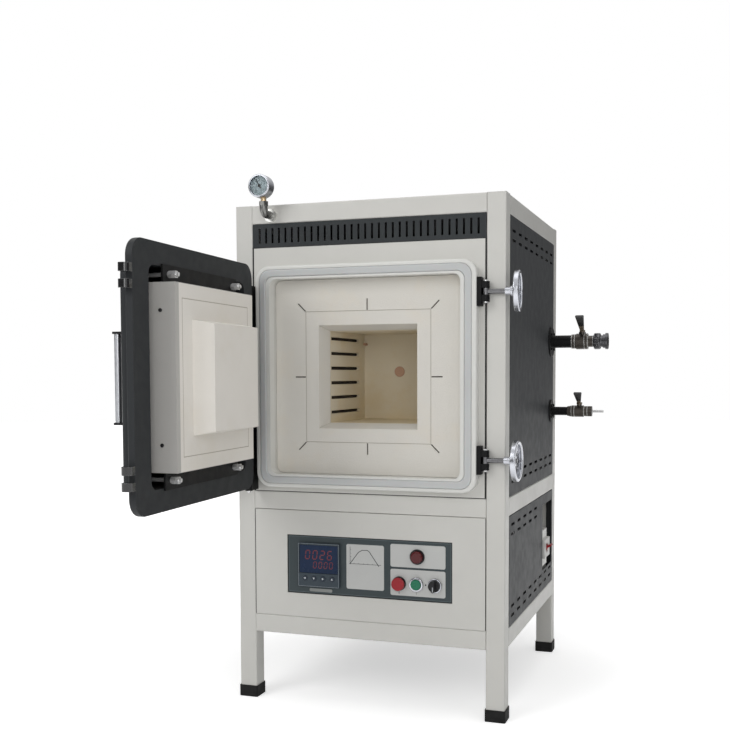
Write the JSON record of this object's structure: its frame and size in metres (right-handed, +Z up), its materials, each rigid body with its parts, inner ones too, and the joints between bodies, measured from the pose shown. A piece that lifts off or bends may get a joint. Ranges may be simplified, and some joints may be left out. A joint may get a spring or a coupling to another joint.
{
  "type": "muffle furnace",
  "caption": "Box muffle furnace on a tube frame: ceramic chamber, swing door with plug and screw clamps, gauge, vacuum and gas ports, control panel below.",
  "frame": {"origin": "on the floor, at the centre of the four feet's anchor holes", "axes": "+X to the right as seen from the front, +Y to the rear, +Z up"},
  "size_m": [0.7545, 1.1972, 1.138],
  "materials": {
    "cream_paint": "semi-gloss powder coat, cream",
    "dark_paint": "fine-texture powder coat, charcoal",
    "black_paint": "semi-gloss black enamel",
    "rubber_black": "matt",
    "silicone": "satin, pale grey",
    "zinc_sheet": "satin",
    "steel": "satin",
    "chrome": "polished",
    "board": "matt, chalky fibre board",
    "muffle": "matt, slightly yellowed",
    "wool": "matt",
    "element": "oxidised",
    "fitting_ceramic": "matt, pinkish",
    "plastic_black": "matt",
    "plastic_white": "satin",
    "plate_grey": "satin, slate",
    "case_grey": "satin",
    "key_plastic": "satin",
    "lens_red": "gloss",
    "button_red": "gloss",
    "button_green": "gloss",
    "toggle_red": "satin",
    "glass": "clear",
    "brass": "satin",
    "copper_iron": "varnished",
    "aluminium": "satin"
  },
  "bodies": {
    "root": {"cabinet_frame": "cream_paint", "feet": "rubber_black", "front_plate": "cream_paint", "vent_grille": "dark_paint", "lower_front_panel": "cream_paint", "cover_panels": "dark_paint", "rear_panels": "dark_paint", "decks": "zinc_sheet", "mouth_ring": "cream_paint", "door_seal": "silicone", "hot_shell": "steel", "front_boards": "board", "chamber_muffle": "muffle", "heating_elements": "element", "insulation": "wool", "chamber_fittings": "fitting_ceramic", "hinge_frame_leaf": "black_paint", "pivot_pins": "steel", "clamp_brackets": "black_paint", "gauge_case": "chrome", "gauge_glass": "glass", "gauge_fittings": "brass", "port_pipes": "black_paint", "port_valves": "steel", "port_fittings": "steel", "control_plate": "plate_grey", "controller_case": "case_grey", "switch_bodies": "plastic_black", "pilot_lens": "lens_red", "breaker_body": "plastic_white", "transformer": "copper_iron", "power_controller": "aluminium", "cable_gland": "plastic_black", "fan_housing": "plastic_black"},
    "door": {"door_flange": "dark_paint", "door_pan": "dark_paint", "door_plug": "board", "plug_fixings": "steel", "door_lugs": "dark_paint", "handle_posts": "plastic_black", "handle_grip": "chrome", "hinge_door_leaves": "black_paint"},
    "bolt_upper": {"swing_bolt_upper": "steel"},
    "bolt_lower": {"swing_bolt_lower": "steel"},
    "collar_upper": {"clamp_collar_upper": "chrome"},
    "collar_lower": {"clamp_collar_lower": "chrome"},
    "wheel_upper": {"clamp_wheel_upper": "chrome"},
    "wheel_lower": {"clamp_wheel_lower": "chrome"},
    "needle": {"gauge_needle": "plastic_black"},
    "vacuum_handle": {"vacuum_lever": "plastic_black"},
    "gas_handle": {"gas_lever": "plastic_black"},
    "key_1": {"controller_key_1": "key_plastic"},
    "key_2": {"controller_key_2": "key_plastic"},
    "key_3": {"controller_key_3": "key_plastic"},
    "key_4": {"controller_key_4": "key_plastic"},
    "stop_button": {"red_button": "button_red"},
    "start_button": {"green_button": "button_green"},
    "selector": {"selector_knob": "plastic_black"},
    "toggle": {"breaker_toggle": "toggle_red"},
    "fan": {"fan_rotor": "plastic_black"}
  },
  "joints": [
    {"name": "door_hinge", "type": "hinge", "parent": "root", "child": "door", "pos_m": [-0.255, -0.346, 0.687], "axis": [0, 0, 1], "range_deg": [-33, 87.17]},
    {"name": "clamp_swing_upper", "type": "hinge", "parent": "root", "child": "bolt_upper", "pos_m": [0.261, -0.318, 0.8825], "axis": [0, 0, -1], "range_deg": [-0.3, 94.5]},
    {"name": "collar_slide_upper", "type": "slide", "parent": "bolt_upper", "child": "collar_upper", "axis": [-0.9969, -0.0785, 0], "range_m": [-0.0021, 0.0061]},
    {"name": "wheel_spin_upper", "type": "hinge", "parent": "collar_upper", "child": "wheel_upper", "pos_m": [0.261, -0.318, 0.8825], "axis": [-0.9969, -0.0785, 0], "range_deg": [-360, 1080]},
    {"name": "clamp_swing_lower", "type": "hinge", "parent": "root", "child": "bolt_lower", "pos_m": [0.261, -0.318, 0.5425], "axis": [0, 0, -1], "range_deg": [-5.8, 89]},
    {"name": "collar_slide_lower", "type": "slide", "parent": "bolt_lower", "child": "collar_lower", "axis": [-0.9998, 0.0175, 0], "range_m": [-0.0021, 0.0061]},
    {"name": "wheel_spin_lower", "type": "hinge", "parent": "collar_lower", "child": "wheel_lower", "pos_m": [0.261, -0.318, 0.5425], "axis": [-0.9998, 0.0175, 0], "range_deg": [-360, 1080]},
    {"name": "needle_turn", "type": "hinge", "parent": "root", "child": "needle", "pos_m": [-0.2165, -0.361, 1.1135], "axis": [0, 1, 0], "range_deg": [-104, 166], "stiffness_Nm_per_rad": 0.002},
    {"name": "vacuum_lever_turn", "type": "hinge", "parent": "root", "child": "vacuum_handle", "pos_m": [0.378, 0.23, 0.82], "axis": [0, 0, 1], "range_deg": [0, 90]},
    {"name": "gas_lever_turn", "type": "hinge", "parent": "root", "child": "gas_handle", "pos_m": [0.372, 0.23, 0.641], "axis": [0, 0, 1], "range_deg": [0, 90]},
    {"name": "key_1_press", "type": "slide", "parent": "root", "child": "key_1", "axis": [0, 1, 0], "range_m": [0, 0.001], "stiffness_N_per_m": 300},
    {"name": "key_2_press", "type": "slide", "parent": "root", "child": "key_2", "axis": [0, 1, 0], "range_m": [0, 0.001], "stiffness_N_per_m": 300},
    {"name": "key_3_press", "type": "slide", "parent": "root", "child": "key_3", "axis": [0, 1, 0], "range_m": [0, 0.001], "stiffness_N_per_m": 300},
    {"name": "key_4_press", "type": "slide", "parent": "root", "child": "key_4", "axis": [0, 1, 0], "range_m": [0, 0.001], "stiffness_N_per_m": 300},
    {"name": "stop_press", "type": "slide", "parent": "root", "child": "stop_button", "axis": [0, 1, 0], "range_m": [0, 0.004], "stiffness_N_per_m": 400},
    {"name": "start_press", "type": "slide", "parent": "root", "child": "start_button", "axis": [0, 1, 0], "range_m": [0, 0.003], "stiffness_N_per_m": 400},
    {"name": "selector_turn", "type": "hinge", "parent": "root", "child": "selector", "pos_m": [0.1515, -0.306, 0.276], "axis": [0, 1, 0], "range_deg": [0, 90]},
    {"name": "toggle_flip", "type": "hinge", "parent": "root", "child": "toggle", "pos_m": [0.299, 0.17, 0.288], "axis": [0, 1, 0], "range_deg": [0, 50]},
    {"name": "fan_spin", "type": "hinge", "parent": "root", "child": "fan", "pos_m": [0, 0.286, 0.905], "axis": [0, 1, 0], "continuous": true}
  ],
  "couplings": [
    {"joint": "collar_slide_upper", "follows": "wheel_spin_upper", "m_per_rad": 0.00031831},
    {"joint": "collar_slide_lower", "follows": "wheel_spin_lower", "m_per_rad": 0.00031831}
  ]
}
